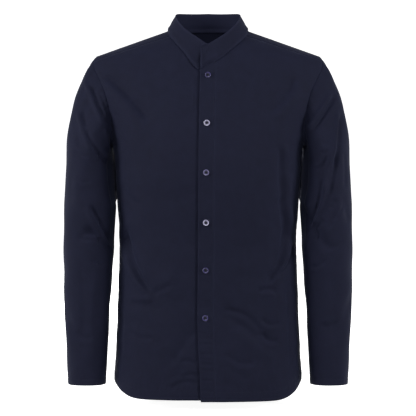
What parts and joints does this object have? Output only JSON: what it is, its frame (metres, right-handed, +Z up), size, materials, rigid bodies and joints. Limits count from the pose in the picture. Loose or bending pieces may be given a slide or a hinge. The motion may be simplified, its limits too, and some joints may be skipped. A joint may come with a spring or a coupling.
{
  "type": "shirt",
  "caption": "Long-sleeved shirt with a mandarin stand collar, button front and curved hem, filled out as if worn and open at the neck, hem and sleeve ends.",
  "frame": {"origin": "middle of the neck, level with the two points where the shoulder line meets the collar, where a wearer or a form holds the shirt up", "axes": "+X towards the shirt's left side as worn, -Y towards its front, +Z up along the trunk to the collar"},
  "size_m": [0.5744, 0.2405, 0.7838],
  "materials": {
    "cloth": "matt navy cotton weave",
    "button": "dark navy, semi-gloss"
  },
  "bodies": {
    "root": {"front_left": "cloth", "front_right": "cloth", "placket": "cloth", "yoke": "cloth", "back": "cloth", "sleeve_left": "cloth", "sleeve_right": "cloth", "collar": "cloth", "button_1": "button", "button_2": "button", "button_3": "button", "button_4": "button", "button_5": "button", "button_6": "button"}
  },
  "joints": []
}
